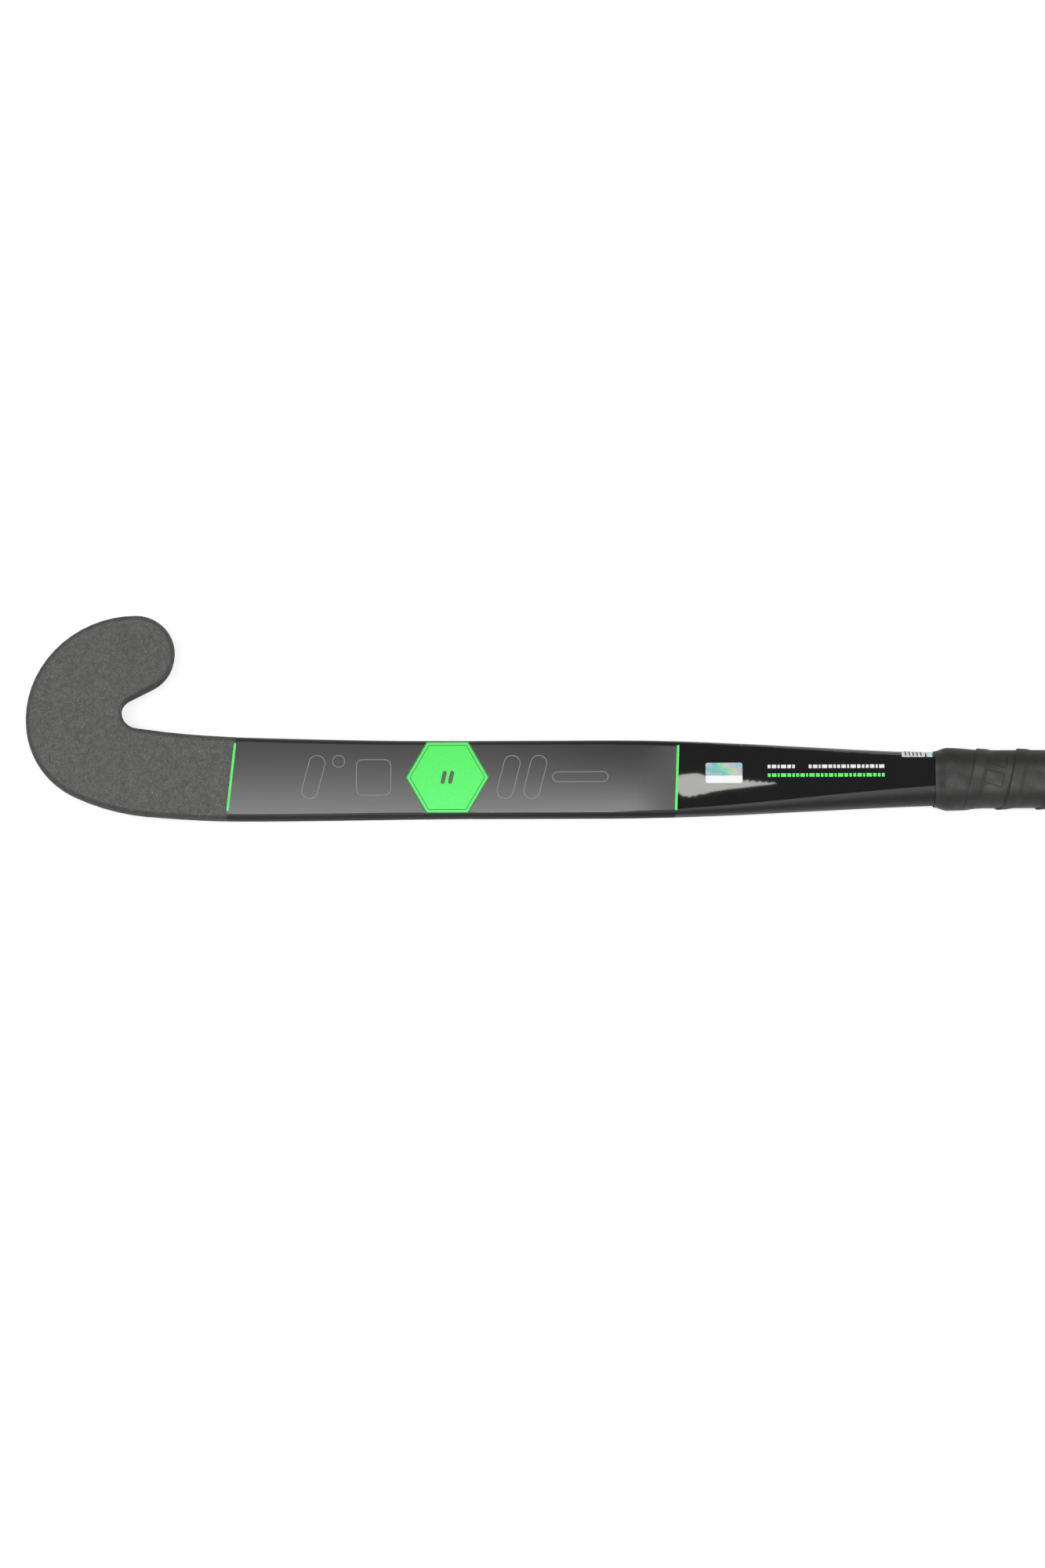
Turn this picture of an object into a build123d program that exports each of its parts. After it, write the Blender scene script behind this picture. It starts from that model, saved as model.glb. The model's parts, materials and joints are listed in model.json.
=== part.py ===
from build123d import *
from math import asin, atan2, cos, degrees, hypot, sin
import os

os.makedirs("parts", exist_ok=True)

# A composite field hockey stick lying on its rounded back, flat playing face up.
# +X runs from the head to the butt, +Y towards the toe, +Z out of the playing face.
# The origin is below the middle of the stick's box, on the surface that it lies on.
# All sizes are in millimetres. "Along" is the distance up the playing face from the
# head's base, and "side" the distance from the shaft's centreline towards the toe.

# ---- overall sizes ----------------------------------------------------------
length = 927.0
shaft_width = 46.2
shaft_thickness = 21.0
handle_width = 30.4
handle_thickness = 27.0

# ---- bow: a flat head, one arc, a straight handle ---------------------------
flat_head = 105.0
bow_depth = 24.0
bow_at = 215.0

# ---- head outline: arcs from the middle of the base, turns in degrees -------
base_side = 33.2
crown_radius, crown_turn = 60.5, 29.8
shoulder_radius, shoulder_turn = 66.9, 58.3
toe_radius, toe_turn = 22.9, 153.5
underside = 16.0
crook_radius = 9.4
throat_slope = 7.0
heel_radius, heel_turn = 50.1, 65.9
sole_radius, sole_turn = 129.8, 20.1
neck_at = 130.0
neck_toe_side, neck_heel_side = 24.5, 25.2
neck_end = 268.0

# ---- edges of the shaft, and its taper into the handle ----------------------
taper_start, taper_end = 350.0, 585.0
face_edge, back_edge = 3.0, 9.0
handle_face_edge, handle_back_edge = 11.0, 13.0
least_edge = 0.4

# ---- walls and fillings -----------------------------------------------------
wall = 2.2
bond = 0.1
tube_wall = 1.0
ply = 0.5
core_end = 96.0
foam_start = 640.0
cap_plug = 30.0
cap_flange = 3.0
cap_rounding = 1.5

# ---- grip -------------------------------------------------------------------
grip_start = 543.0
backing = 0.5
backing_setback = 3.0
tape = 1.6
roll_setback, roll_length, roll_lift = 4.0, 12.0, 1.0
finish_width, finish_tape, finish_setback = 22.0, 0.3, 4.0

# ---- thin layers on the playing face ----------------------------------------
film = 0.12
stripe_width = 1.4
stripe_margin = 2.0
lower_stripe_at, lower_stripe_lean = 122.0, 5.6
upper_stripe_at, upper_stripe_lean = 388.9, 2.2
badge_at, badge_side, badge_across = 251.3, 0.6, 43.2
badge_bars, badge_bar_pitch, badge_bar_lean = 2, 4.4, 12.0
badge_bar_length, badge_bar_width = 8.0, 2.4
graphic_side, graphic_line = 0.7, 0.5
hologram_at, hologram_side = 416.9, 2.7
hologram_length, hologram_width, hologram_corner = 21.6, 12.2, 1.2
print_start, print_end = 443.0, 515.0
print_height, print_gap = 2.1, 0.8
white_row_side, green_row_side = 6.4, 1.2
white_row_break, white_row_restart = 461.0, 467.5
spec_start, spec_length, spec_reach = 523.4, 13.8, 4.4
spec_rows, spec_row_width = 5, 0.9
mark_gap, mark_length = 1.0, 3.4

# Outlined shapes along the shaft: along, side, length, width, corner, lean from crosswise.
graphic_shapes = (
    (171.0, 0.0, 27.0, 10.0, 4.9, 14.0),
    (186.0, 9.6, 7.6, 7.6, 3.7, 0.0),
    (207.0, 0.0, 22.0, 21.0, 4.0, 0.0),
    (288.0, 0.0, 27.0, 10.0, 4.9, 14.0),
    (304.0, 0.0, 27.0, 10.0, 4.9, 14.0),
    (331.0, 0.0, 6.5, 33.0, 3.2, 0.0),
)

# ---- worked out from the sizes above ----------------------------------------
layers = backing + tape
head_angle = 2 * bow_depth / (flat_head + bow_at)
bow_radius = (bow_at - flat_head) / sin(head_angle)
handle_rise = bow_depth - layers
handle_angle = handle_rise / (length - bow_at - handle_rise / 2)
bow_turn = head_angle + handle_angle
bow_end = flat_head + bow_radius * bow_turn
slab_past = 40.0
reach = 400.0


def face_point(along):
    """x and z of the playing face in the head's plane, and its slope there."""
    if along <= flat_head:
        return along, 0.0, 0.0
    turn = min((along - flat_head) / bow_radius, bow_turn)
    past = max(along - bow_end, 0.0)
    x = flat_head + bow_radius * sin(turn) + past * cos(turn)
    z = bow_radius * (1 - cos(turn)) + past * sin(turn)
    return x, z, turn


def tapered(along, shaft_value, handle_value):
    """A size that eases from the shaft's value to the handle's."""
    share = (along - taper_start) / (taper_end - taper_start)
    share = min(max(share, 0.0), 1.0)
    return shaft_value + (handle_value - shaft_value) * share * share * (3 - 2 * share)


# The back of the bow and the roll at the grip's start touch the surface below.
# The head's plane is tilted by the angle at which both do.
roll_start = grip_start + roll_setback
roll_middle = roll_start + roll_length / 2
roll_depth = tapered(roll_middle, shaft_thickness, handle_thickness) / 2
roll_x, roll_z, roll_turn = face_point(roll_middle)
roll_x += sin(roll_turn) * roll_depth
roll_z -= cos(roll_turn) * roll_depth
roll_half = roll_depth + layers + roll_lift
bearing = atan2(roll_z - bow_radius, roll_x - flat_head)
bow_to_roll = hypot(roll_x - flat_head, roll_z - bow_radius)
lie = bearing + asin((bow_radius + shaft_thickness - roll_half) / bow_to_roll)

head = Plane(origin=(0, 0, 0), x_dir=(cos(lie), 0, -sin(lie)), z_dir=(sin(lie), 0, cos(lie)))
side = Plane(origin=(0, 0, 0), x_dir=head.x_dir, z_dir=(0, -1, 0))


def square_plane(along):
    """Plane square to the shaft: local x towards the toe, local y out of the face."""
    x, z, turn = face_point(along)
    run = head.x_dir * cos(turn) + head.z_dir * sin(turn)
    return Plane(origin=head.x_dir * x + head.z_dir * z, x_dir=(0, 1, 0), z_dir=run)


def section(along, grow):
    """Rounded section of the shaft or handle, grown outwards by grow."""
    width = tapered(along, shaft_width, handle_width) + 2 * grow
    thickness = tapered(along, shaft_thickness, handle_thickness)
    face_round = max(tapered(along, face_edge, handle_face_edge) + grow, least_edge)
    back_round = max(tapered(along, back_edge, handle_back_edge) + grow, least_edge)
    with BuildSketch(square_plane(along)) as outline:
        with Locations((0, -thickness / 2)):
            Rectangle(width, thickness + 2 * grow)
        fillet(outline.vertices().group_by(Axis.Y)[-1], face_round)
        fillet(outline.vertices().group_by(Axis.Y)[0], back_round)
    return outline.sketch.face()


def shaft_run(start, end, grow):
    """Length of shaft or handle between two sections above the slab."""
    taper_to = min(end, taper_end)
    steps = max(round((taper_to - start) / 30), 1)
    with BuildPart() as run:
        if start < taper_end:
            loft([section(start + (taper_to - start) * i / steps, grow) for i in range(steps + 1)])
        if end > taper_end:
            bar_start = max(start, taper_end)
            extrude(section(bar_start, grow), amount=end - bar_start)
    return run.part


def plan_outline(grow):
    """Outline of head and shaft seen square to the head's playing face."""
    toe_heading = 90 - crown_turn - shoulder_turn - toe_turn
    half = shaft_width / 2 + grow
    far = face_point(taper_start)[0] + slab_past
    start = (-grow, base_side)
    neck_toe = Vector(neck_at, neck_toe_side + grow)
    neck_heel = Vector(neck_at, -neck_heel_side - grow)
    waist_toe = Vector(neck_end, half)
    waist_heel = Vector(neck_end, -half)
    toe_line = (waist_toe - neck_toe).normalized()
    heel_line = (waist_heel - neck_heel).normalized()
    with BuildSketch() as outline:
        with BuildLine():
            crown = JernArc(start, (0, 1), crown_radius + grow, -crown_turn)
            shoulder = JernArc(crown @ 1, crown % 1, shoulder_radius + grow, -shoulder_turn)
            toe = JernArc(shoulder @ 1, shoulder % 1, toe_radius + grow, -toe_turn)
            under = Line(toe @ 1, toe @ 1 + (toe % 1) * underside)
            crook = JernArc(under @ 1, under % 1, crook_radius - grow, -throat_slope - toe_heading)
            Spline(crook @ 1, neck_toe, tangents=(crook % 1, toe_line))
            Spline(neck_toe, waist_toe, tangents=(toe_line, (1, 0)))
            heel = JernArc(start, (0, -1), heel_radius + grow, heel_turn)
            sole = JernArc(heel @ 1, heel % 1, sole_radius + grow, sole_turn)
            Spline(sole @ 1, neck_heel, tangents=(sole % 1, heel_line))
            Spline(neck_heel, waist_heel, tangents=(heel_line, (1, 0)))
            Polyline(waist_toe, (far, half), (far, -half), waist_heel)
        make_face()
    return outline.sketch


def side_band(low, high):
    """Side view of a layer that follows the playing face, from low to high above it."""
    far = length + slab_past
    with BuildSketch() as band:
        with BuildLine():
            low_flat = Line((-slab_past, low), (flat_head, low))
            low_bow = JernArc(low_flat @ 1, (1, 0), bow_radius - low, degrees(bow_turn))
            low_run = Line(low_bow @ 1, low_bow @ 1 + (low_bow % 1) * (far - bow_end))
            high_flat = Line((-slab_past, high), (flat_head, high))
            high_bow = JernArc(high_flat @ 1, (1, 0), bow_radius - high, degrees(bow_turn))
            high_run = Line(high_bow @ 1, high_bow @ 1 + (high_bow % 1) * (far - bow_end))
            Line(low_flat @ 0, high_flat @ 0)
            Line(low_run @ 1, high_run @ 1)
        make_face()
    return band.sketch


def slab(grow):
    """Head and lower shaft: the outline cut from the bowed sheet, with rounded edges."""
    with BuildPart() as body:
        with BuildSketch(side):
            add(side_band(-shaft_thickness - grow, grow))
        extrude(amount=reach, both=True)
        with BuildSketch(head.offset(-reach)):
            add(plan_outline(grow))
        extrude(amount=2 * reach, mode=Mode.INTERSECT)
        back = body.faces().filter_by(lambda face: face.normal_at().dot(head.z_dir) < -0.8)
        fillet(back.edges().filter_by(Axis.Y, reverse=True), max(back_edge + grow, least_edge))
        front = body.faces().filter_by(lambda face: face.normal_at().dot(head.z_dir) > 0.8)
        fillet(front.edges().filter_by(Axis.Y, reverse=True), max(face_edge + grow, least_edge))
        split(bisect_by=square_plane(taper_start), keep=Keep.BOTTOM)
    return body.part


def stick_body(grow, end):
    """The whole stick as one solid, grown outwards by grow."""
    with BuildPart() as body:
        add(slab(grow))
        add(shaft_run(taper_start, end, grow))
    return body.part


def face_print(shapes, layer=0):
    """Film on the playing face with the given outlines, on top of so many films."""
    with BuildPart() as printed:
        with BuildSketch(side):
            add(side_band(layer * film, (layer + 1) * film))
        extrude(amount=reach, both=True)
        with BuildSketch(head.offset(-reach)):
            add(shapes)
        extrude(amount=2 * reach, mode=Mode.INTERSECT)
    return printed.part


def stripe(along, lean):
    """Thin round-ended line across the face, leaning from the crosswise direction."""
    stripe_length = tapered(along, shaft_width, handle_width) - stripe_margin
    stripe_length -= tapered(along, face_edge, handle_face_edge)
    with BuildSketch() as line:
        with Locations(Location((face_point(along)[0], 0), 90 - lean)):
            SlotOverall(stripe_length, stripe_width)
    return line.sketch


def bars(start, end, across):
    """Row of plain bars of uneven length, in place of small print."""
    lengths = (1.7, 2.6, 1.2, 3.1, 2.1, 1.5)
    with BuildSketch() as row:
        place = start
        count = 0
        while place + lengths[count % len(lengths)] <= end:
            bar = lengths[count % len(lengths)]
            with Locations((face_point(place)[0] + bar / 2, across)):
                Rectangle(bar, print_height)
            place += bar + print_gap
            count += 1
    return row.sketch


# ---- laminate and what it holds ---------------------------------------------
stick = stick_body(0, length)
filling = stick_body(-wall - bond, length)
hollow = stick_body(-wall - bond - tube_wall, length)
ply_plane = head.offset(-wall - bond - ply)

with BuildPart() as laminate_shell:
    add(stick)
    add(stick_body(-wall, length + slab_past), mode=Mode.SUBTRACT)

with BuildPart() as head_core:
    add(filling)
    split(bisect_by=square_plane(core_end), keep=Keep.BOTTOM)
    split(bisect_by=ply_plane.offset(-bond), keep=Keep.BOTTOM)

with BuildPart() as aramid_damping_ply:
    add(filling)
    split(bisect_by=square_plane(core_end), keep=Keep.BOTTOM)
    split(bisect_by=ply_plane, keep=Keep.TOP)

with BuildPart() as chamber_tube_toe_side:
    add(filling)
    split(bisect_by=Plane.XZ.offset(-bond / 2), keep=Keep.BOTTOM)
    with BuildPart(mode=Mode.PRIVATE) as toe_bore:
        add(hollow)
        split(bisect_by=Plane.XZ.offset(-bond / 2 - tube_wall), keep=Keep.BOTTOM)
    add(toe_bore.part, mode=Mode.SUBTRACT)
    split(bisect_by=square_plane(core_end + bond), keep=Keep.TOP)
    split(bisect_by=square_plane(foam_start - bond), keep=Keep.BOTTOM)

with BuildPart() as chamber_tube_heel_side:
    add(filling)
    split(bisect_by=Plane.XZ.offset(bond / 2), keep=Keep.TOP)
    with BuildPart(mode=Mode.PRIVATE) as heel_bore:
        add(hollow)
        split(bisect_by=Plane.XZ.offset(bond / 2 + tube_wall), keep=Keep.TOP)
    add(heel_bore.part, mode=Mode.SUBTRACT)
    split(bisect_by=square_plane(core_end + bond), keep=Keep.TOP)
    split(bisect_by=square_plane(foam_start - bond), keep=Keep.BOTTOM)

with BuildPart() as handle_foam_core:
    add(shaft_run(foam_start, length - cap_plug - bond, -wall - bond))

with BuildPart() as butt_cap:
    add(shaft_run(length - cap_plug, length, -wall - bond))
    extrude(section(length, layers), amount=cap_flange)
    fillet(butt_cap.faces().sort_by(Axis.X)[-1].edges(), cap_rounding)

# ---- grip -------------------------------------------------------------------
with BuildPart() as grip_backing_layer:
    add(shaft_run(grip_start + backing_setback, length, backing))
    add(stick, mode=Mode.SUBTRACT)

with BuildPart() as grip_wrap:
    add(shaft_run(grip_start, length, layers))
    add(shaft_run(roll_start, roll_start + roll_length, layers + roll_lift))
    add(shaft_run(grip_start + backing_setback, length, backing), mode=Mode.SUBTRACT)
    add(stick, mode=Mode.SUBTRACT)

with BuildPart() as grip_finishing_tape:
    finish_end = length - finish_setback
    add(shaft_run(finish_end - finish_width, finish_end, layers + finish_tape))
    add(shaft_run(finish_end - finish_width, finish_end, layers), mode=Mode.SUBTRACT)

# ---- coat, stripes and graphics on the playing face --------------------------
with BuildPart() as face_grip_coat:
    with BuildSketch() as coat_outline:
        add(plan_outline(-face_edge))
        with Locations(Location((face_point(lower_stripe_at)[0] - stripe_width, 0), -lower_stripe_lean)):
            Rectangle(reach, reach, align=(Align.MAX, Align.CENTER), mode=Mode.INTERSECT)
    add(face_print(coat_outline.sketch))

with BuildPart() as lower_stripe:
    add(face_print(stripe(lower_stripe_at, lower_stripe_lean)))

with BuildPart() as upper_stripe:
    add(face_print(stripe(upper_stripe_at, upper_stripe_lean)))

badge_place = Location((face_point(badge_at)[0], badge_side))
with BuildPart() as emblem_badge:
    with BuildSketch() as badge_outline:
        with Locations(badge_place):
            RegularPolygon(radius=badge_across / 2, side_count=6, major_radius=False)
    add(face_print(badge_outline.sketch))

with BuildPart() as emblem_mark:
    with BuildSketch() as mark_outline:
        with Locations(badge_place):
            with GridLocations(badge_bar_pitch, 0, badge_bars, 1):
                SlotOverall(badge_bar_length, badge_bar_width, rotation=90 - badge_bar_lean)
    add(face_print(mark_outline.sketch, layer=1))

with BuildPart() as outline_graphic:
    with BuildSketch() as graphic_outline:
        for along, across, tall, wide, corner, lean in graphic_shapes:
            x = face_point(along)[0]
            with Locations(Location((x, graphic_side + across), -lean)):
                RectangleRounded(wide, tall, corner)
                RectangleRounded(
                    wide - 2 * graphic_line,
                    tall - 2 * graphic_line,
                    corner - graphic_line,
                    mode=Mode.SUBTRACT,
                )
    add(face_print(graphic_outline.sketch))

with BuildPart() as hologram_sticker:
    with BuildSketch() as sticker_outline:
        with Locations((face_point(hologram_at)[0], hologram_side)):
            RectangleRounded(hologram_length, hologram_width, hologram_corner)
    add(face_print(sticker_outline.sketch))

with BuildPart() as print_row_white:
    add(face_print(bars(print_start, white_row_break, white_row_side)))
    add(face_print(bars(white_row_restart, print_end, white_row_side)))

with BuildPart() as print_row_green:
    add(face_print(bars(print_start, print_end, green_row_side)))

# ---- labels wrapped over the toe-side edge, just below the grip --------------
label_side = tapered(spec_start, shaft_width, handle_width) / 2 - spec_reach

with BuildPart() as spec_label:
    add(shaft_run(spec_start, spec_start + spec_length, film))
    add(stick, mode=Mode.SUBTRACT)
    split(bisect_by=Plane.XZ.offset(-label_side), keep=Keep.BOTTOM)

with BuildPart() as spec_label_print:
    row_pitch = spec_length / (spec_rows + 1)
    for number in range(1, spec_rows + 1):
        row_start = spec_start + row_pitch * number - spec_row_width / 2
        add(shaft_run(row_start, row_start + spec_row_width, 2 * film))
    add(shaft_run(spec_start, spec_start + spec_length, film), mode=Mode.SUBTRACT)
    split(bisect_by=Plane.XZ.offset(-label_side - spec_row_width), keep=Keep.BOTTOM)

with BuildPart() as edge_mark:
    mark_start = spec_start + spec_length + mark_gap
    add(shaft_run(mark_start, mark_start + mark_length, film))
    add(stick, mode=Mode.SUBTRACT)
    split(bisect_by=Plane.XZ.offset(-label_side), keep=Keep.BOTTOM)

# ---- the lying stick: box middle over the origin, lowest point at z = 0 -------
pieces = {
    "laminate_shell": laminate_shell,
    "head_core": head_core,
    "aramid_damping_ply": aramid_damping_ply,
    "chamber_tube_toe_side": chamber_tube_toe_side,
    "chamber_tube_heel_side": chamber_tube_heel_side,
    "handle_foam_core": handle_foam_core,
    "butt_cap": butt_cap,
    "grip_backing_layer": grip_backing_layer,
    "grip_wrap": grip_wrap,
    "grip_finishing_tape": grip_finishing_tape,
    "face_grip_coat": face_grip_coat,
    "lower_stripe": lower_stripe,
    "upper_stripe": upper_stripe,
    "emblem_badge": emblem_badge,
    "emblem_mark": emblem_mark,
    "outline_graphic": outline_graphic,
    "print_row_white": print_row_white,
    "print_row_green": print_row_green,
    "hologram_sticker": hologram_sticker,
    "spec_label": spec_label,
    "spec_label_print": spec_label_print,
    "edge_mark": edge_mark,
}

boxes = [piece.part.bounding_box() for piece in pieces.values()]
low = Vector(*(min(getattr(box.min, axis) for box in boxes) for axis in "XYZ"))
high = Vector(*(max(getattr(box.max, axis) for box in boxes) for axis in "XYZ"))
rest = Location((-(low.X + high.X) / 2, -(low.Y + high.Y) / 2, -low.Z))

for name, piece in pieces.items():
    piece.part.move(rest)
    piece.part.label = name
    export_step(piece.part, f"parts/{name}.step")
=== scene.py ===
import json
import math

import bpy
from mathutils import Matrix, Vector


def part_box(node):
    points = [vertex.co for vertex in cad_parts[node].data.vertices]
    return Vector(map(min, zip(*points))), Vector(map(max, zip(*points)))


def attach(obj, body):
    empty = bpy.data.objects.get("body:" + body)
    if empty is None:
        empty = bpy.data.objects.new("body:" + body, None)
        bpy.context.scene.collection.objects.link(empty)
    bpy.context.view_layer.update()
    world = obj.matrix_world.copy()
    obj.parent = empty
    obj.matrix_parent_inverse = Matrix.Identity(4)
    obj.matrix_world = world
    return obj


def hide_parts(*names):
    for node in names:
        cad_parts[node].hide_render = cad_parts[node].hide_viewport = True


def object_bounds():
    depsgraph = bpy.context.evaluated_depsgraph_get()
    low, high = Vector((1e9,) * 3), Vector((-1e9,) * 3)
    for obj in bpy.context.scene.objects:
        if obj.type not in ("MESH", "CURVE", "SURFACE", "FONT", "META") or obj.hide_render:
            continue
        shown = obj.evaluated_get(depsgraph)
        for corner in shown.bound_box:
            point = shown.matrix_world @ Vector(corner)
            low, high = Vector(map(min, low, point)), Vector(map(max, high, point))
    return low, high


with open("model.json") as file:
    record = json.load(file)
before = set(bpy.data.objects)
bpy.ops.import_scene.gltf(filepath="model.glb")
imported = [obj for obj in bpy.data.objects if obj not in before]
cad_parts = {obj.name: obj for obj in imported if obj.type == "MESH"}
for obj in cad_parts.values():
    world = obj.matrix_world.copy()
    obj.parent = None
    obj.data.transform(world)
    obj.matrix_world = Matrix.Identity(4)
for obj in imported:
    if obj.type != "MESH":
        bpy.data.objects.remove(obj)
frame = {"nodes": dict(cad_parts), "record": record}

# A field hockey stick lying on its back: +X towards the butt, +Y towards the toe, +Z out of
# the playing face. Lengths are in metres, apart from the tape's own map, which is in millimetres.
# "Along" is the distance up the playing face from the head's base.

CAD_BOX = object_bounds()
NODES = frame["nodes"]
MM = 0.001


def box_middle(node):
    """Middle of a CAD node's box."""
    low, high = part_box(node)
    return (Vector(low) + Vector(high)) / 2


# ---- places and sizes read from the frame -----------------------------------
MOUNTS = {mount["name"]: mount for mount in frame["record"]["mounts"]}
TOEWARD = Vector((0, 1, 0))
BUTTWARD = Vector(MOUNTS["grip_hold"]["axis"]).normalized()
FACE_UP = BUTTWARD.cross(TOEWARD)
HOLD_ALONG, HOLD_DEPTH = 800 * MM, 13.5 * MM
FACE_POINT = Vector(MOUNTS["grip_hold"]["pos_m"]) + FACE_UP * HOLD_DEPTH
CENTRE_Y = FACE_POINT.y
LOWER_STRIPE = box_middle("lower_stripe")
UPPER_STRIPE = box_middle("upper_stripe")
BADGE = box_middle("emblem_badge")
CAP = box_middle("butt_cap")
LOWER_LEAN = math.tan(math.radians(5.6))
UPPER_LEAN = math.tan(math.radians(2.2))

# ---- handle, as the CAD model has it ----------------------------------------
SHAFT_SIZE = Vector((46.2, 21.0)) * MM
HANDLE_SIZE = Vector((30.4, 27.0)) * MM
SHAFT_EDGES = Vector((3.0, 9.0)) * MM
HANDLE_EDGES = Vector((11.0, 13.0)) * MM
TAPER_START, TAPER_END = 350 * MM, 585 * MM
GRIP_START, STICK_END = 543 * MM, 927 * MM
LAYERS = 2.1 * MM
SIDE_STEPS, CORNER_STEPS = 9, 15

# ---- wound tape ---------------------------------------------------------------
TAPE = 1.0 * MM
TAPE_PITCH = 24 * MM
FIRST_EDGE = -8 * MM
ROUND_GRIP = 104 * MM
OVERLAP, OVERLAP_THINNING = 5.5 * MM, 0.25
SLOPE = 4.0 * MM
EDGE_ROUND, EDGE_DROP, EDGE_DIP = 0.8 * MM, 0.55, 0.18 * MM
ROLL_TOP, ROLL_END = GRIP_START + 11 * MM, GRIP_START + 30 * MM
ROLL_RISE, ROLL_EDGE, ROLL_CROWN = 8 * MM, -1.3 * MM, 1.0 * MM
CLOSING = 4 * MM
FINISH_START, FINISH_END = STICK_END - 26 * MM, STICK_END - 3 * MM
FINISH_THICKNESS, FINISH_SINK = 0.3 * MM, 0.15 * MM
FINISH_STEP, FINISH_STEP_SHARE, FINISH_PITCH = 0.25 * MM, 0.4, 9 * MM
FINISH_RINGS = 60


def along_plane(along):
    """Point on the face's centreline of the straight part of the stick."""
    return FACE_POINT + BUTTWARD * (along - HOLD_ALONG)


def ease(value):
    """Smooth step from 0 to 1."""
    value = min(max(value, 0.0), 1.0)
    return value * value * (3 - 2 * value)


def section(along, grow):
    """Points round the stick's section, with their outward normals, from the heel side over the face."""
    share = ease((along - TAPER_START) / (TAPER_END - TAPER_START))
    width, depth = SHAFT_SIZE.lerp(HANDLE_SIZE, share)
    face_edge, back_edge = SHAFT_EDGES.lerp(HANDLE_EDGES, share)
    half = width / 2
    corners = [
        (-half + face_edge, -face_edge, face_edge, 180),
        (half - face_edge, -face_edge, face_edge, 90),
        (half - back_edge, -depth + back_edge, back_edge, 0),
        (-half + back_edge, -depth + back_edge, back_edge, -90),
    ]
    points = []
    for index, (y, z, radius, start) in enumerate(corners):
        for step in range(CORNER_STEPS):
            angle = math.radians(start - 90 * step / CORNER_STEPS)
            normal = Vector((math.cos(angle), math.sin(angle)))
            points.append((Vector((y, z)) + normal * (radius + grow), normal))
        next_y, next_z, next_radius, next_start = corners[(index + 1) % len(corners)]
        angle = math.radians(next_start)
        normal = Vector((math.cos(angle), math.sin(angle)))
        first = Vector((y, z)) + normal * (radius + grow)
        last = Vector((next_y, next_z)) + normal * (next_radius + grow)
        for step in range(SIDE_STEPS):
            points.append((first.lerp(last, step / SIDE_STEPS), normal))
    return points


def mesh_piece(name, vertices, faces, look, uvs=None):
    """A smooth mesh that rides on the stick."""
    mesh = bpy.data.meshes.new(name)
    mesh.from_pydata(vertices, [], faces)
    if uvs:
        layer = mesh.uv_layers.new(name="UVMap")
        for loop in mesh.loops:
            layer.data[loop.index].uv = uvs[loop.vertex_index]
    mesh.polygons.foreach_set("use_smooth", [True] * len(faces))
    mesh.update()
    piece = bpy.data.objects.new(name, mesh)
    bpy.context.collection.objects.link(piece)
    piece.data.materials.append(look)
    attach(piece, "root")
    return piece


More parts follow.
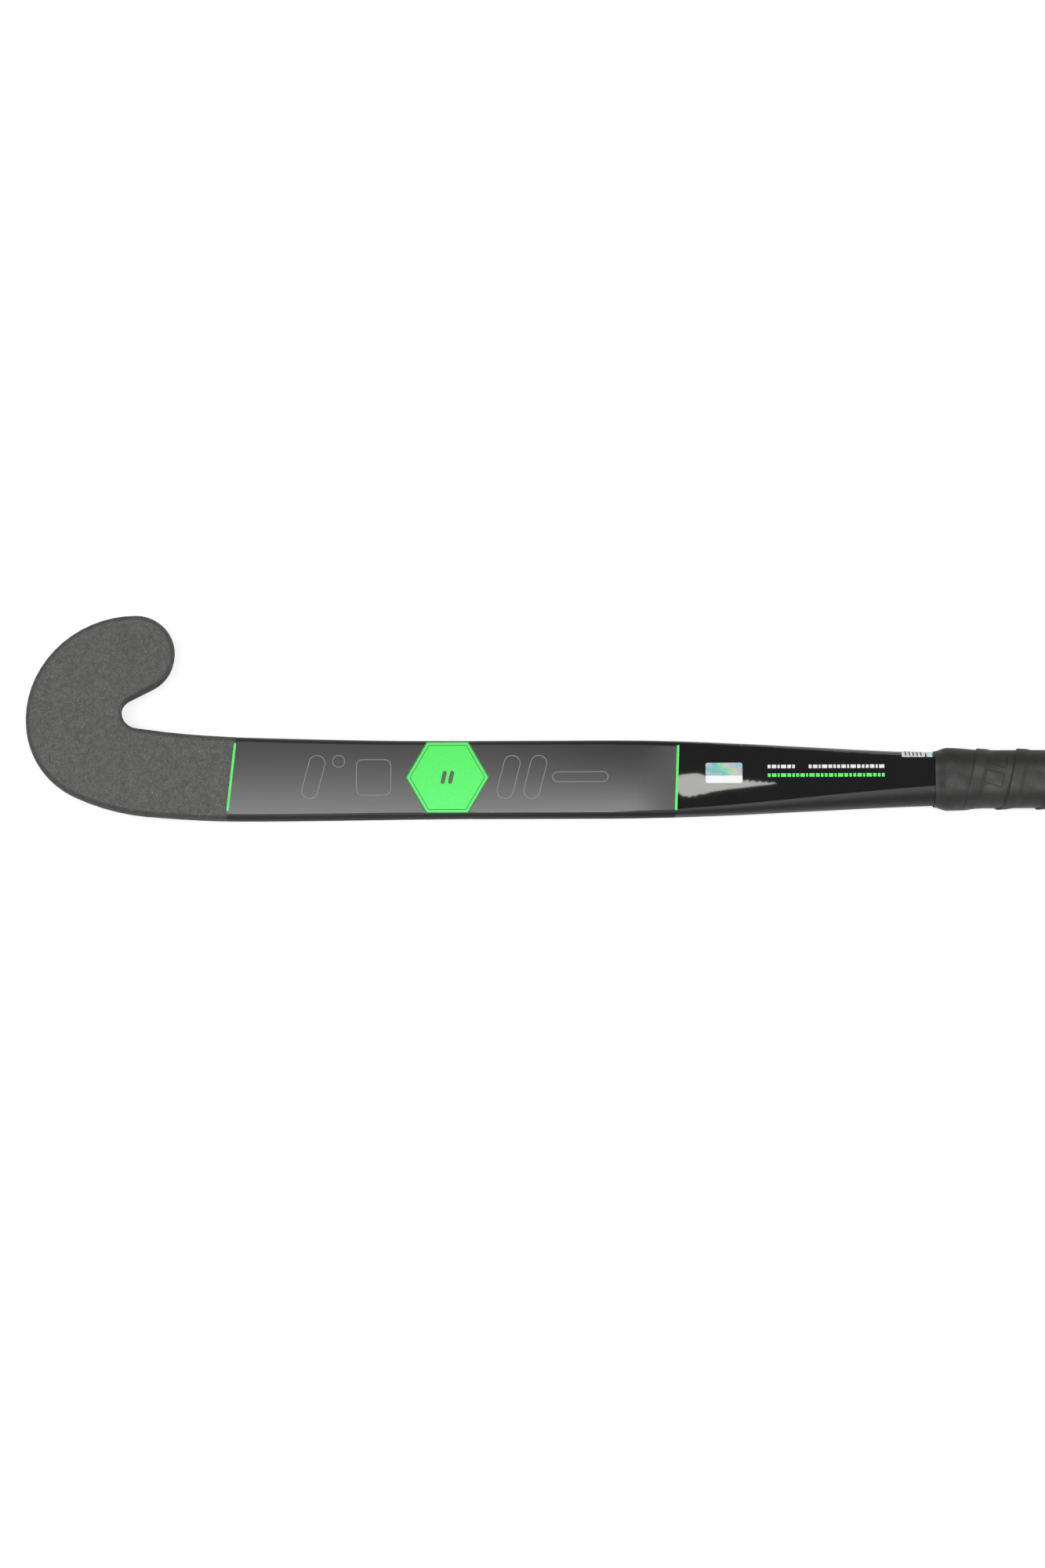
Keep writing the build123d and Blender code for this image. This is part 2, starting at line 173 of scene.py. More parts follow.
# ---- materials ------------------------------------------------------------------
class Look:
    """A node material: a Principled shader and short ways to add nodes to it."""

    def __init__(self, name, colour, roughness):
        self.material = bpy.data.materials.new(name)
        self.material.use_nodes = True
        self.tree = self.material.node_tree
        self.shader = self.tree.nodes["Principled BSDF"]
        self.material.diffuse_color = (*colour, 1)
        self.set("Base Color", (*colour, 1))
        self.set("Roughness", roughness)
        coordinates = self.tree.nodes.new("ShaderNodeTexCoord").outputs
        self.place, self.normal = coordinates["Object"], coordinates["Normal"]

    def put(self, socket, value):
        """Links a socket, or sets its value."""
        if isinstance(value, bpy.types.NodeSocket):
            self.tree.links.new(value, socket)
        else:
            socket.default_value = value

    def set(self, name, value):
        """Links or sets one of the shader's own sockets."""
        self.put(self.shader.inputs[name], value)

    def maths(self, operation, *values):
        node = self.tree.nodes.new("ShaderNodeMath")
        node.operation = operation
        for socket, value in zip(node.inputs, values):
            self.put(socket, value)
        return node.outputs[0]

    def plus(self, first, second):
        return self.maths("ADD", first, second)

    def minus(self, first, second):
        return self.maths("SUBTRACT", first, second)

    def times(self, first, second):
        return self.maths("MULTIPLY", first, second)

    def over(self, first, second):
        return self.maths("DIVIDE", first, second)

    def larger(self, first, second):
        return self.maths("MAXIMUM", first, second)

    def gap(self, first, second):
        """How far apart two values are."""
        return self.maths("ABSOLUTE", self.minus(first, second))

    def length(self, first, second):
        """Length of a vector with these two parts."""
        return self.maths("SQRT", self.plus(self.times(first, first), self.times(second, second)))

    def axes(self, vector):
        node = self.tree.nodes.new("ShaderNodeSeparateXYZ")
        self.put(node.inputs[0], vector)
        return node.outputs

    def noise(self, scale, detail=2.0, stretch=(1, 1, 1)):
        mapping = self.tree.nodes.new("ShaderNodeMapping")
        self.put(mapping.inputs["Vector"], self.place)
        mapping.inputs["Scale"].default_value = stretch
        node = self.tree.nodes.new("ShaderNodeTexNoise")
        self.put(node.inputs["Vector"], mapping.outputs[0])
        node.inputs["Scale"].default_value = scale
        node.inputs["Detail"].default_value = detail
        return node.outputs["Fac"]

    def span(self, value, low, high, to_low=0.0, to_high=1.0):
        """Value from low..high eased to to_low..to_high."""
        node = self.tree.nodes.new("ShaderNodeMapRange")
        node.interpolation_type = "SMOOTHSTEP"
        self.put(node.inputs["Value"], value)
        limits = {"From Min": low, "From Max": high, "To Min": to_low, "To Max": to_high}
        for name, number in limits.items():
            self.put(node.inputs[name], number)
        return node.outputs[0]

    def patches(self, scale, detail=2.0, to_low=0.0, to_high=1.0, cut=0.3):
        """Soft patches of noise between two values, with a share cut off at both ends."""
        return self.span(self.noise(scale, detail), cut, 1 - cut, to_low, to_high)

    def mix(self, factor, first, second):
        """Mix of two colours, or of two numbers where either is given as one."""
        colours = not isinstance(first, (int, float)) and not isinstance(second, (int, float))
        kind = "RGBA" if colours else "VALUE"
        if colours:
            first, second = (c if isinstance(c, bpy.types.NodeSocket) else (*c, 1) for c in (first, second))
        node = self.tree.nodes.new("ShaderNodeMix")
        node.data_type = "RGBA" if colours else "FLOAT"
        sockets = [socket for socket in node.inputs[1:] if socket.type == kind]
        self.put(node.inputs[0], factor)
        self.put(sockets[0], first)
        self.put(sockets[1], second)
        return next(socket for socket in node.outputs if socket.type == kind)

    def ramp(self, factor, *stops):
        node = self.tree.nodes.new("ShaderNodeValToRGB")
        self.put(node.inputs[0], factor)
        points = node.color_ramp.elements
        while len(points) < len(stops):
            points.new(0.5)
        for point, (position, colour) in zip(points, stops):
            point.position = position
            point.color = (*colour, 1)
        return node.outputs["Color"]

    def bump(self, height):
        """Bump from a height in metres."""
        node = self.tree.nodes.new("ShaderNodeBump")
        node.inputs["Distance"].default_value = 1.0
        self.put(node.inputs["Height"], height)
        self.set("Normal", node.outputs[0])

    def grain(self, scale, depth, detail=2.0):
        """Height of fine grain, in metres."""
        return self.times(self.noise(scale, detail), depth)


COAT_GREY = (0.044, 0.044, 0.043)
COAT_DARK = (0.036, 0.036, 0.035)
COAT_LIGHT = (0.052, 0.052, 0.050)
SPECK_GREY = (0.20, 0.20, 0.19)
SATIN_BLACK = (0.013, 0.013, 0.0125)
SATIN_LIGHT = (0.018, 0.018, 0.017)
GLOSS_BLACK = (0.002, 0.002, 0.002)
PRINT_GREEN = (0.030, 0.66, 0.060)

COAT_ROUGHNESS, WALL_ROUGHNESS = 0.62, 1.0
SATIN_ROUGHNESS, SATIN_ROUGHNESS_LAST = 0.33, 0.27
GLOSS_ROUGHNESS, BEVEL_ROUGHNESS = 0.015, 0.60
SATIN_DARKENING = 0.75
BEVEL_NORMALS, WALL_NORMALS = (-0.01, -0.05), (-0.25, -0.6)
CROWN, CROWN_FADE_IN, CROWN_FADE_OUT = 1.2, 80 * MM, 30 * MM


def coat_height(look):
    """Sanded, slightly lumpy surface of the grip coat, in metres."""
    fine = look.grain(scale=1500, depth=0.16 * MM, detail=3)
    return look.plus(fine, look.grain(scale=420, depth=0.14 * MM))


def coat_colour(look):
    """Mottled grey with small pale specks."""
    mottled = look.mix(look.patches(scale=260, detail=4), COAT_DARK, COAT_LIGHT)
    specks = look.span(look.noise(scale=2600, detail=1), 0.63, 0.72)
    return look.mix(specks, mottled, SPECK_GREY)


def laminate_look():
    """Textured coat on the head, satin lacquer up to the upper stripe, gloss lacquer above it."""
    look = Look("laminate_lacquer", SATIN_BLACK, 0.4)
    x, y, _ = look.axes(look.place)
    off_centre = look.minus(y, CENTRE_Y)
    coated = look.maths("LESS_THAN", look.minus(x, look.times(off_centre, LOWER_LEAN)), LOWER_STRIPE.x)
    glossy = look.maths("GREATER_THAN", look.minus(x, look.times(off_centre, UPPER_LEAN)), UPPER_STRIPE.x)

    satin = look.mix(look.noise(scale=1200, detail=1), SATIN_BLACK, SATIN_LIGHT)
    satin = look.mix(look.span(x, BADGE.x, UPPER_STRIPE.x, 0.0, SATIN_DARKENING), satin, GLOSS_BLACK)
    colour = look.mix(coated, satin, coat_colour(look))
    look.set("Base Color", look.mix(glossy, colour, GLOSS_BLACK))

    turned = look.axes(look.normal)[1]
    gloss_rough = look.span(turned, *BEVEL_NORMALS, GLOSS_ROUGHNESS, BEVEL_ROUGHNESS)
    satin_rough = look.span(x, BADGE.x, UPPER_STRIPE.x, SATIN_ROUGHNESS, SATIN_ROUGHNESS_LAST)
    rough = look.mix(coated, satin_rough, COAT_ROUGHNESS)
    rough = look.mix(look.span(turned, *WALL_NORMALS), rough, WALL_ROUGHNESS)
    look.set("Roughness", look.mix(glossy, rough, gloss_rough))

    coat = look.times(coated, coat_height(look))
    lacquer = look.times(look.minus(1.0, glossy), look.grain(scale=1400, depth=0.003 * MM))
    crown = look.times(look.times(off_centre, off_centre), -CROWN)
    fade_in = look.span(x, LOWER_STRIPE.x - CROWN_FADE_IN, LOWER_STRIPE.x)
    fade_out = look.span(x, UPPER_STRIPE.x - CROWN_FADE_OUT, UPPER_STRIPE.x, 1.0, 0.0)
    crown = look.times(crown, look.times(fade_in, fade_out))
    waves = look.plus(look.grain(scale=34, depth=0.005 * MM, detail=0), crown)
    look.bump(look.plus(look.plus(coat, lacquer), waves))
    return look.material


def coat_look():
    """Sanded grey coat of the playing face."""
    look = Look("head_grip_coat", COAT_GREY, COAT_ROUGHNESS)
    look.set("Base Color", coat_colour(look))
    look.set("Roughness", look.patches(scale=500, detail=3, to_low=0.55, to_high=0.70))
    look.bump(coat_height(look))
    return look.material


def print_look(name, colour):
    """Screen print under lacquer: slightly uneven colour and a fine grain."""
    look = Look(name, colour, 0.35)
    darker = tuple(0.86 * value for value in colour)
    look.set("Base Color", look.mix(look.patches(scale=700, detail=3, cut=0.35), darker, colour))
    look.set("Roughness", look.patches(scale=300, to_low=0.30, to_high=0.41))
    look.bump(look.grain(scale=1800, depth=0.008 * MM))
    return look.material


# Painted light and shade: the badge's green is lighter on the heel side and darker on the toe side.
BADGE_LIT_GREEN, BADGE_SHADED_GREEN = (0.045, 0.69, 0.090), (0.030, 0.64, 0.060)
BADGE_PATCH_GREEN, BADGE_LINE_GREEN = (0.02, 0.5, 0.05), (0.006, 0.10, 0.012)
BADGE_SHADE_REACH = 20 * MM
BADGE_RIM, BADGE_LINE, BADGE_LINE_HALF = 21.1 * MM, 19.4 * MM, 0.22 * MM


def badge_look():
    """Green hexagon with a dark rim and a thin dark line inside it, made paler towards the heel side by
    painted light.
    """
    look = Look("badge_print", PRINT_GREEN, 0.5)
    x, y, _ = look.axes(look.place)
    across, sideways = look.gap(y, BADGE.y), look.gap(x, BADGE.x)
    slanted = look.plus(look.times(sideways, math.cos(math.radians(30))), look.times(across, 0.5))
    reach = look.larger(across, slanted)
    rim = look.maths("GREATER_THAN", reach, BADGE_RIM)
    line = look.maths("COMPARE", reach, BADGE_LINE, BADGE_LINE_HALF)
    # Painted light and shade: the green is paler on the heel side, where the softbox's light falls, and
    # darker towards the toe.
    shade = look.span(y, BADGE.y - BADGE_SHADE_REACH, BADGE.y + BADGE_SHADE_REACH)
    green = look.mix(shade, BADGE_LIT_GREEN, BADGE_SHADED_GREEN)
    uneven = look.patches(scale=500, detail=3, to_high=0.15, cut=0.35)
    green = look.mix(uneven, green, BADGE_PATCH_GREEN)
    look.set("Base Color", look.mix(look.larger(rim, line), green, BADGE_LINE_GREEN))
    look.bump(look.grain(scale=1500, depth=0.008 * MM))
    return look.material


FOIL_TEAL, FOIL_GREEN, FOIL_YELLOW = (0.12, 0.36, 0.34), (0.16, 0.48, 0.33), (0.42, 0.46, 0.26)
FOIL_LILAC, FOIL_BLUE = (0.38, 0.33, 0.48), (0.26, 0.42, 0.46)
FOIL_GLINT, FOIL_WHITE = (0.45, 0.50, 0.49), (0.68, 0.70, 0.71)
FOIL_BANDS_X, FOIL_BANDS_Y, FOIL_SWIRL = 38.0, 45.0, 2.6
FOIL_WEAVE, FOIL_GLINT_SHARE, FOIL_WHITE_SHARE = 9000.0, 0.35, 0.36


def hologram_look():
    """Silver foil with soft bands of teal, green, yellow and lilac, and a white lower strip."""
    look = Look("hologram_foil", (0.35, 0.45, 0.43), 0.16)
    look.set("Metallic", 0.1)
    x, y, _ = look.axes(look.place)
    swirl = look.noise(scale=95, detail=2, stretch=(0.6, 1.3, 1))
    phase = look.plus(look.times(x, FOIL_BANDS_X), look.times(y, FOIL_BANDS_Y))
    phase = look.plus(phase, look.times(swirl, FOIL_SWIRL))
    colours = look.ramp(
        look.maths("FRACT", phase),
        (0.0, FOIL_TEAL),
        (0.22, FOIL_GREEN),
        (0.42, FOIL_YELLOW),
        (0.60, FOIL_LILAC),
        (0.78, FOIL_BLUE),
        (1.0, FOIL_TEAL),
    )
    weave_x = look.maths("SINE", look.times(x, FOIL_WEAVE))
    weave_y = look.maths("SINE", look.times(y, FOIL_WEAVE))
    weave = look.times(weave_x, weave_y)
    colours = look.mix(look.span(weave, 0.2, 0.9, 0.0, FOIL_GLINT_SHARE), colours, FOIL_GLINT)
    low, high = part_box("hologram_sticker")
    lower = look.maths("LESS_THAN", y, low[1] + FOIL_WHITE_SHARE * (high[1] - low[1]))
    look.set("Base Color", look.mix(lower, colours, FOIL_WHITE))
    look.bump(look.times(weave, 0.004 * MM))
    return look.material


def label_look():
    """White label film, slightly uneven."""
    look = Look("label_film", (0.64, 0.64, 0.63), 0.4)
    uneven = look.noise(scale=400, detail=3)
    look.set("Base Color", look.mix(uneven, (0.60, 0.60, 0.59), (0.68, 0.68, 0.67)))
    look.bump(look.grain(scale=600, depth=0.01 * MM))
    return look.material


# The tape's map has the distance round the grip and the distance along it, in millimetres.
PITCH_MM, ROUND_MM = TAPE_PITCH / MM, ROUND_GRIP / MM
TAPE_DARK, TAPE_LIGHT = (0.010, 0.0098, 0.0092), (0.018, 0.0172, 0.0157)
# Near-black used as painted shade in the holes, in the motif's grooves and along each turn's edge.
PAINTED_SHADE_BLACK = (0.004, 0.004, 0.004)
# A thin line of painted shade runs along each turn's cut edge.
EDGE_LINE, EDGE_LINE_INNER, EDGE_LINE_OUTER = 0.1, 0.15, 0.5
HOLE_PITCH, HOLE_INNER, HOLE_OUTER = 4.4, 0.16, 0.34
MOTIF_START, MOTIF_LENGTH, MOTIF_REPEAT = 118.0, 36.0, 150.0
MOTIF_BOX, MOTIF_LEAN, MOTIF_LEAN_CENTRE, MOTIF_CENTRE = 12.0, 0.25, 13.0, 14.0
MOTIF_HALF_WIDTH, MOTIF_HALF_HEIGHT = 4.2, 5.6
# The grooves of the motif are darkened by a share of painted shade.
GROOVE_INNER, GROOVE_OUTER, GROOVE_PAINTED_SHADE = 0.12, 0.42, 0.75
MARK_DEPTH = 0.12 * MM


def perforations(look, round_about, along):
    """Fine holes on a square grid, darkened by painted shade and shown only in patches."""
    hole_round = look.minus(look.maths("FRACT", look.over(round_about, HOLE_PITCH)), 0.5)
    hole_along = look.minus(look.maths("FRACT", look.over(along, HOLE_PITCH)), 0.5)
    distance = look.times(look.length(hole_round, hole_along), HOLE_PITCH)
    shown_patches = look.span(look.noise(scale=90, detail=1), 0.46, 0.56)
    # Painted shade: the holes are darkened where shade falls into them, and only in patches.
    return look.times(look.span(distance, HOLE_INNER, HOLE_OUTER, 1.0, 0.0), shown_patches)


def motif(look, round_about, turns, across):
    """A group of outlined leaning boxes, repeated along the tape."""
    ribbon = look.times(look.maths("FLOOR", turns), ROUND_MM)
    ribbon = look.minus(look.plus(ribbon, round_about), MOTIF_START)
    repeat = look.maths("FRACT", look.over(ribbon, MOTIF_REPEAT))
    shown = look.maths("LESS_THAN", repeat, MOTIF_LENGTH / MOTIF_REPEAT)
    lean = look.times(look.minus(across, MOTIF_LEAN_CENTRE), MOTIF_LEAN)
    box = look.maths("FRACT", look.over(look.plus(ribbon, lean), MOTIF_BOX))
    from_middle = look.gap(look.times(box, MOTIF_BOX), MOTIF_BOX / 2)
    sides = look.minus(from_middle, MOTIF_HALF_WIDTH)
    ends = look.minus(look.gap(across, MOTIF_CENTRE), MOTIF_HALF_HEIGHT)
    from_outline = look.maths("ABSOLUTE", look.larger(sides, ends))
    return look.times(look.span(from_outline, GROOVE_INNER, GROOVE_OUTER, 1.0, 0.0), shown)


def grip_look():
    """Dark polyurethane tape: leather-like grain, perforations, an outlined motif, with painted shade in
    the holes and the motif's grooves and along each turn's cut edge.
    """
    look = Look("polyurethane_tape", (0.035, 0.034, 0.032), 0.45)
    uv = look.tree.nodes.new("ShaderNodeUVMap")
    uv.uv_map = "UVMap"
    round_about, along, _ = look.axes(uv.outputs[0])
    turns = look.minus(look.over(along, PITCH_MM), look.over(round_about, ROUND_MM))
    across = look.times(look.maths("FRACT", turns), PITCH_MM)
    # Painted shade: a thin dark line along the step at the edge of each turn.
    edge = look.span(look.gap(across, EDGE_LINE), EDGE_LINE_INNER, EDGE_LINE_OUTER, 1.0, 0.0)
    holes = perforations(look, round_about, along)
    groove = motif(look, round_about, turns, across)

    tape = look.mix(look.patches(scale=60, detail=4, cut=0.35), TAPE_DARK, TAPE_LIGHT)
    # Painted shade darkens the holes and the motif's grooves.
    hole_and_groove_shade = look.larger(holes, look.times(groove, GROOVE_PAINTED_SHADE))
    look.set("Base Color", look.mix(look.larger(edge, hole_and_groove_shade), tape, PAINTED_SHADE_BLACK))
    look.set("Roughness", look.patches(scale=130, detail=3, to_low=0.56, to_high=0.68))
    fine = look.grain(scale=1300, depth=0.035 * MM, detail=3)
    grain = look.plus(fine, look.grain(scale=120, depth=0.25 * MM))
    look.bump(look.minus(grain, look.times(look.larger(holes, groove), MARK_DEPTH)))
    return look.material


def plain_look(name, colour, roughness, scale=300, depth=0.03):
    """Moulded or filled material with mottled colour and a little grain."""
    look = Look(name, colour, roughness)
    darker = tuple(0.75 * value for value in colour)
    look.set("Base Color", look.mix(look.patches(scale, detail=4), darker, colour))
    look.set("Roughness", look.patches(scale / 2, 3, roughness - 0.06, roughness + 0.08))
    look.bump(look.grain(scale * 4, depth * MM, detail=3))
    return look.material


CAP_BLACK, CAP_GREY = (0.014, 0.014, 0.014), (0.022, 0.022, 0.022)
CAP_RING_PITCH, CAP_RING_DEPTH = 3.6 * MM, 0.35 * MM


def cap_look():
    """Moulded rubber with shallow rings on its end."""
    look = Look("cap_rubber", (0.02, 0.02, 0.02), 0.55)
    _, y, z = look.axes(look.place)
    from_centre = look.length(look.minus(y, CAP.y), look.minus(z, CAP.z))
    ring = look.maths("FRACT", look.over(from_centre, CAP_RING_PITCH))
    ring = look.span(look.gap(ring, 0.5), 0.08, 0.2, 0.0, CAP_RING_DEPTH)
    look.set("Base Color", look.mix(look.patches(scale=300, detail=4), CAP_BLACK, CAP_GREY))
    look.set("Roughness", look.patches(scale=150, detail=3, to_low=0.48, to_high=0.62))
    look.bump(look.plus(ring, look.grain(scale=1200, depth=0.03 * MM, detail=3)))
    return look.material


def weave_look(name, colour, thread):
    """Plain weave in resin."""
    look = Look(name, colour, 0.4)
    x, y, _ = look.axes(look.place)
    warp = look.maths("SINE", look.times(x, math.pi / thread))
    weft = look.maths("SINE", look.times(y, math.pi / thread))
    checks = look.span(look.times(warp, weft), -0.5, 0.5)
    darker = tuple(0.55 * value for value in colour)
    look.set("Base Color", look.mix(checks, darker, colour))
    look.bump(look.times(checks, 0.05 * MM))
    return look.material


def dress(look, *names):
    """Gives CAD nodes their material."""
    for name in names:
        mesh = NODES[name].data
        mesh.materials.clear()
        mesh.materials.append(look)


dress(laminate_look(), "laminate_shell")
dress(coat_look(), "face_grip_coat")
dress(print_look("stripe_print", PRINT_GREEN), "lower_stripe", "upper_stripe", "print_row_green")
dress(badge_look(), "emblem_badge")
dress(print_look("badge_mark_print", (0.008, 0.05, 0.01)), "emblem_mark")
dress(print_look("outline_print", (0.13, 0.13, 0.13)), "outline_graphic")
dress(print_look("white_print", (0.62, 0.62, 0.62)), "print_row_white")
dress(hologram_look(), "hologram_sticker")
dress(label_look(), "spec_label")
dress(print_look("label_black_print", (0.02, 0.02, 0.02)), "spec_label_print")
dress(print_look("edge_mark_print", (0.45, 0.72, 0.72)), "edge_mark")
dress(cap_look(), "butt_cap")
dress(plain_look("core_resin_foam", (0.45, 0.36, 0.18), 0.7, scale=500), "head_core")
dress(plain_look("handle_foam", (0.72, 0.62, 0.38), 0.85, scale=800, depth=0.1), "handle_foam_core")
dress(plain_look("backing_felt", (0.06, 0.06, 0.06), 0.9, scale=900, depth=0.1), "grip_backing_layer")
dress(weave_look("aramid_weave", (0.65, 0.50, 0.08), 1.2 * MM), "aramid_damping_ply")
carbon = weave_look("carbon_weave", (0.03, 0.03, 0.03), 2.0 * MM)
dress(carbon, "chamber_tube_toe_side", "chamber_tube_heel_side")

# ---- grip: a straight first turn, then a spiral -------------------------------


def spiral_height(distance):
    """Height of the tape above one layer, at a distance past the edge of the turn on top."""
    if distance < OVERLAP:
        return TAPE * (1 - OVERLAP_THINNING * ease(distance / OVERLAP))
    return (1 - OVERLAP_THINNING) * TAPE * (1 - ease((distance - OVERLAP) / SLOPE))


def spiral_rows():
    """Distances past the edge of a turn at which the tape's surface is drawn."""
    sharp = [0.0, 0.12, 0.35, 0.8, 1.6, 2.8, 4.2]
    slope = [5.5, 6.1, 6.8, 7.5, 8.2, 8.9, 9.6]
    flat = [11.0, 12.5, 14.5, 16.5, 18.5, 20.5, 22.4, 23.4, 23.8, 23.97]
    return [value * MM for value in sharp + slope + flat]


def edge_round(distance):
    """The tape's cut edge is rounded over its first few tenths, and dips just before it."""
    if distance < OVERLAP:
        return (ease(distance / EDGE_ROUND) - 1) * EDGE_DROP * TAPE
    return -ease((distance - (TAPE_PITCH - EDGE_ROUND)) / EDGE_ROUND) * EDGE_DIP


def roll_height(along):
    """The double first turn: a rounded edge, a crown, and a slope down to the single layer."""
    rise = ease((along - GRIP_START) / ROLL_RISE)
    fall = ease((along - ROLL_TOP) / (ROLL_END - ROLL_TOP))
    return ROLL_EDGE + (ROLL_CROWN - ROLL_EDGE) * rise - ROLL_CROWN * fall


def closing(along):
    """The tape is pressed down to the butt cap over the last few millimetres."""
    return ease((STICK_END - along) / CLOSING)


def raised(along, surface_point, height):
    """Place of a point of the section at a distance along the handle, raised off it."""
    point, normal = surface_point
    point = point + normal * height
    return along_plane(along) + TOEWARD * point.x + FACE_UP * point.y


def tape_spiral(name, look):
    """The wound grip tape, from its first turn to the butt."""
    turns = int((STICK_END - GRIP_START) / TAPE_PITCH) + 2
    rows = [(turn * TAPE_PITCH, distance) for turn in range(-1, turns) for distance in spiral_rows()]
    count = len(section(GRIP_START, 0))
    vertices, uvs, faces = [], [], []
    for base, distance in rows:
        for index in range(count + 1):
            share = index / count
            along = GRIP_START + FIRST_EDGE + base + distance + TAPE_PITCH * share
            held = min(max(along, GRIP_START), STICK_END)
            height = (spiral_height(distance) + edge_round(distance)) * closing(held)
            if held < ROLL_END:
                height = height * ease((held - ROLL_TOP) / (ROLL_END - ROLL_TOP)) + roll_height(held)
            vertices.append(raised(held, section(held, LAYERS)[index % count], height))
            uvs.append((share * ROUND_MM, (along - GRIP_START - FIRST_EDGE) / MM))
    width = count + 1
    for row in range(len(rows) - 1):
        for index in range(count):
            corner = row * width + index
            quad = (corner, corner + 1, corner + width + 1, corner + width)
            # Rows held back at an end lie on each other there, and make no face.
            spread = {round((vertices[c] - FACE_POINT).dot(BUTTWARD), 7) for c in quad}
            if len(spread) > 1:
                faces.append(quad)
    return mesh_piece(name, vertices, faces, look, uvs)


def finishing_tape(name, look):
    """Smooth vinyl tape over the end of the grip: it follows the turns below and ends sunk into them."""
    count = len(section(FINISH_START, 0))
    vertices, faces = [], []
    for ring in range(FINISH_RINGS + 1):
        along = FINISH_START + (FINISH_END - FINISH_START) * ring / FINISH_RINGS
        points = section(along, LAYERS)
        for index in range(count):
            share = index / count
            from_edge = (along - GRIP_START - FIRST_EDGE - TAPE_PITCH * share) % TAPE_PITCH
            own_turn = ((along - FINISH_START) / FINISH_PITCH - share) % 1.0
            wound = FINISH_THICKNESS + FINISH_STEP * (1 - ease(own_turn / FINISH_STEP_SHARE))
            if ring in (0, FINISH_RINGS):
                wound = -FINISH_SINK
            height = spiral_height(from_edge) * closing(along) + wound
            vertices.append(raised(along, points[index], height))
    for ring in range(FINISH_RINGS):
        for index in range(count):
            after = (index + 1) % count
            low, high = ring * count, (ring + 1) * count
            faces.append((low + index, low + after, high + after, high + index))
    return mesh_piece(name, vertices, faces, look)


spiral = tape_spiral("grip_tape_spiral", grip_look())
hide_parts("grip_wrap")

vinyl = plain_look("finishing_vinyl", (0.012, 0.012, 0.012), 0.3, scale=200, depth=0.02)
finishing = finishing_tape("finishing_tape_wound", vinyl)
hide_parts("grip_finishing_tape")

# ---- camera, lamps and floor -----------------------------------------------------
CAMERA_DISTANCE = 1.8
CAMERA_ELEVATION = math.radians(82)
CAMERA_SENSOR = 36
VIEW_HEIGHT = 0.94
TARGET = Vector((CAD_BOX[0][0] + 296.6 * MM, CENTRE_Y - 3.3 * MM, 21 * MM))
SOFTBOX_PLACE, SOFTBOX_SIZE, SOFTBOX_POWER = (-0.15, -0.33, 2.4), (2.4, 0.8), 70
REFLECTION_ALONG, REFLECTION_HEELWARD = 419 * MM, 4.5 * MM
LAMP_DISTANCE, LAMP_GLOW, LAMP_COLOUR = 2.0, 11.0, (1, 0.98, 0.94, 1)
FLOOR_HALF = 6
FLOOR_WHITE, FLOOR_SEEN_GREY, FLOOR_GLOW = (0.90, 0.90, 0.90), (0.42, 0.42, 0.42), 0.62
WORLD_STRENGTH = 0.3


def add_camera():
    camera = bpy.data.cameras.new("camera")
    camera.sensor_width = CAMERA_SENSOR
    camera.lens = CAMERA_SENSOR * CAMERA_DISTANCE / VIEW_HEIGHT
    camera.clip_start, camera.clip_end = 0.05, 30
    holder = bpy.data.objects.new("camera", camera)
    back = Vector((0, -math.cos(CAMERA_ELEVATION), math.sin(CAMERA_ELEVATION)))
    holder.location = TARGET + back * CAMERA_DISTANCE
    holder.rotation_euler = back.to_track_quat("Z", "Y").to_euler()
    bpy.context.collection.objects.link(holder)
    bpy.context.scene.camera = holder


def add_softbox():
    """A large soft lamp above the heel side, pointing straight down."""
    lamp = bpy.data.lights.new("overhead_softbox", "AREA")
    lamp.shape = "RECTANGLE"
    lamp.size, lamp.size_y = SOFTBOX_SIZE
    lamp.energy = SOFTBOX_POWER
    holder = bpy.data.objects.new("overhead_softbox", lamp)
    holder.visible_camera = False
    holder.location = SOFTBOX_PLACE
    bpy.context.collection.objects.link(holder)


def reflection_outline():
    """Outline of the reflection on the shaft, in millimetres: a bulb that tapers off, with ragged edges."""
    top = [
        (-31.5, 4.7), (-27.7, 6.1), (-22, 6.8), (-17.9, 7.0), (-14.6, 6.1), (-12.7, 4.7), (8.5, 3.5),
        (10.1, 2.3), (12.0, 3.2), (13.4, 1.9), (15.4, 2.7), (17.4, 1.5), (19.6, 2.3), (21.0, 1.2),
        (23.4, 1.8), (24.8, 0.9), (27.0, 1.4), (29.6, 0.7),
    ]
    bottom = [
        (25.4, 0.0), (18.3, -0.6), (8.9, -1.7), (-0.5, -2.7), (-9.9, -4.2), (-14.6, -5.6), (-17.0, -5.4),
        (-19.3, -6.7), (-21.0, -6.4), (-23.0, -7.4), (-24.6, -6.6), (-26.8, -6.8), (-29.6, -4.4),
        (-31.5, -3.5),
    ]
    return top + bottom


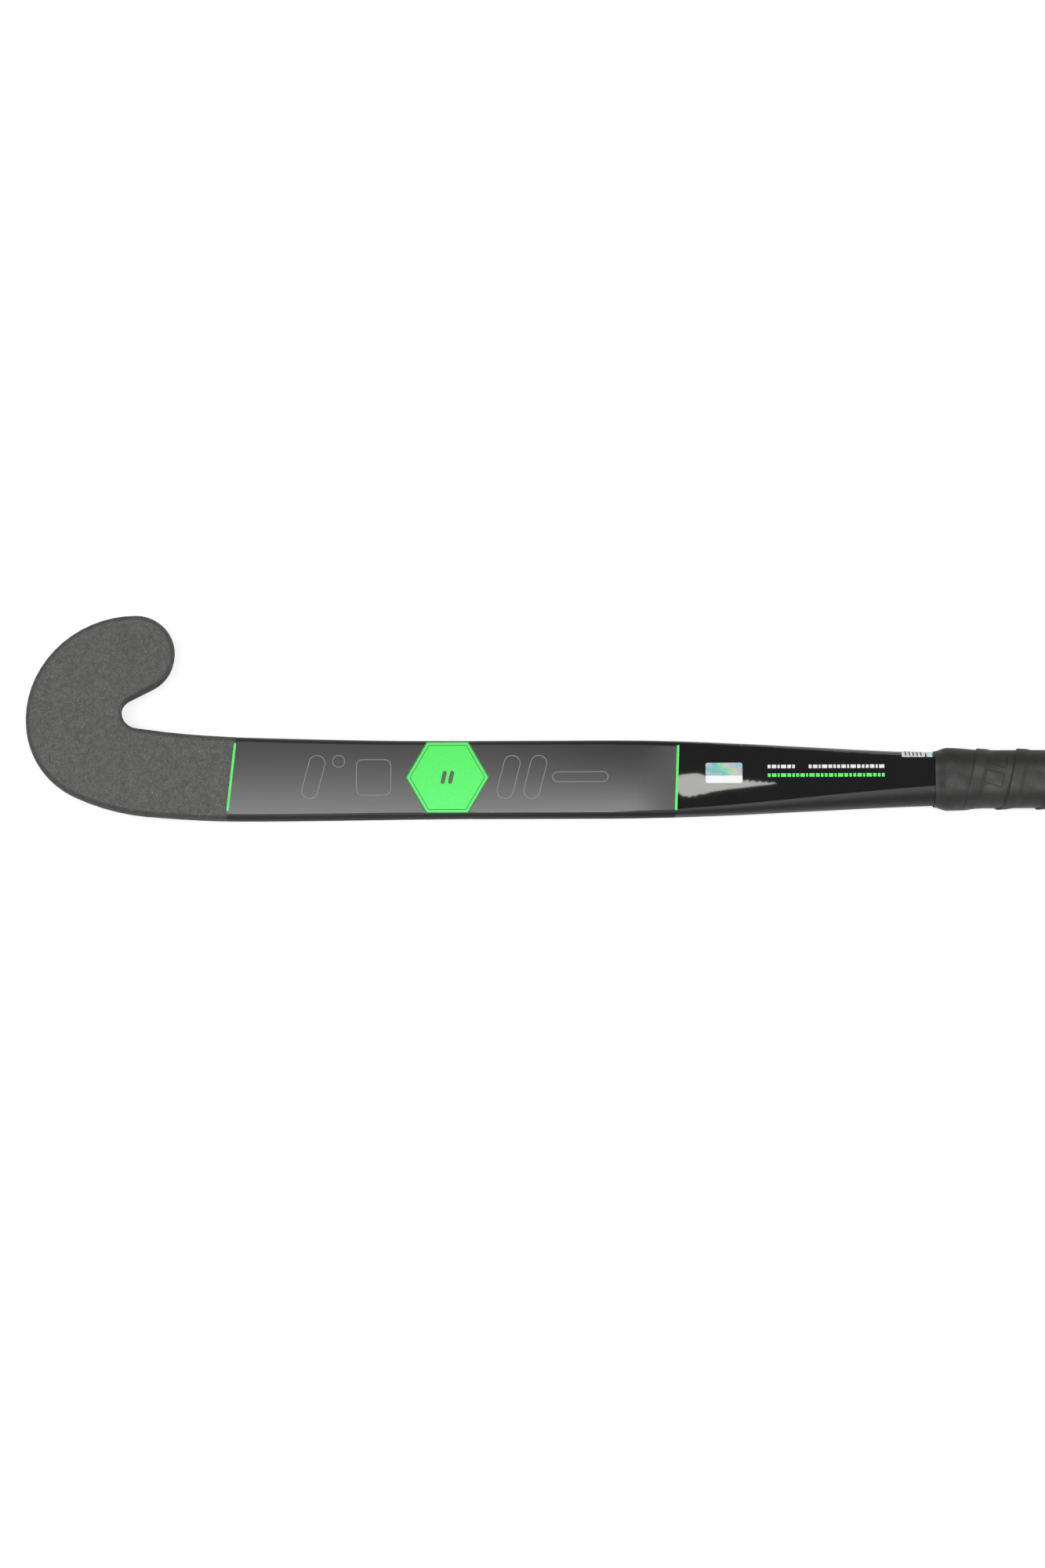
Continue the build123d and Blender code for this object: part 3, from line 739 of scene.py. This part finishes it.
def add_lamp_reflection():
    """A small tapered lamp, placed where the gloss zone of the shaft mirrors it to the camera."""
    spot = along_plane(REFLECTION_ALONG) - TOEWARD * REFLECTION_HEELWARD
    camera = bpy.context.scene.camera.location
    seen = (spot - camera).normalized()
    away = seen - 2 * seen.dot(FACE_UP) * FACE_UP
    centre = spot + away * LAMP_DISTANCE
    scale = ((spot - camera).length + LAMP_DISTANCE) / (spot - camera).length
    vertices = [centre + Vector((x, y, 0)) * MM * scale for x, y in reflection_outline()]
    mesh = bpy.data.meshes.new("small_lamp")
    mesh.from_pydata(vertices, [], [tuple(range(len(vertices)))])
    lamp = bpy.data.objects.new("small_lamp", mesh)
    look = Look("small_lamp_glow", (0, 0, 0), 1.0)
    look.set("Emission Color", LAMP_COLOUR)
    look.set("Emission Strength", LAMP_GLOW)
    mesh.materials.append(look.material)
    bpy.context.collection.objects.link(lamp)
    lamp.visible_camera = lamp.visible_diffuse = lamp.visible_shadow = False


def add_floor():
    """White paper that glows a little where it is seen, so that it shows white and keeps a soft shadow."""
    corners = [(x * FLOOR_HALF, y * FLOOR_HALF, 0) for x, y in ((-1, -1), (1, -1), (1, 1), (-1, 1))]
    mesh = bpy.data.meshes.new("floor")
    mesh.from_pydata(corners, [], [(0, 1, 2, 3)])
    floor = bpy.data.objects.new("floor", mesh)
    bpy.context.collection.objects.link(floor)
    look = Look("floor_paper", FLOOR_WHITE, 0.9)
    rays = look.tree.nodes.new("ShaderNodeLightPath").outputs
    seen = look.larger(rays["Is Camera Ray"], rays["Is Glossy Ray"])
    seen = look.larger(seen, rays["Is Transmission Ray"])
    look.set("Base Color", look.mix(seen, FLOOR_WHITE, FLOOR_SEEN_GREY))
    look.set("Emission Color", (1, 1, 1, 1))
    look.set("Emission Strength", look.times(seen, FLOOR_GLOW))
    floor.data.materials.append(look.material)


def add_world():
    world = bpy.data.worlds.new("studio")
    world.use_nodes = True
    background = world.node_tree.nodes["Background"]
    background.inputs["Color"].default_value = (1, 1, 1, 1)
    background.inputs["Strength"].default_value = WORLD_STRENGTH
    bpy.context.scene.world = world


add_camera()
add_floor()
add_world()
add_softbox()
add_lamp_reflection()
bpy.context.scene.view_settings.view_transform = "Standard"
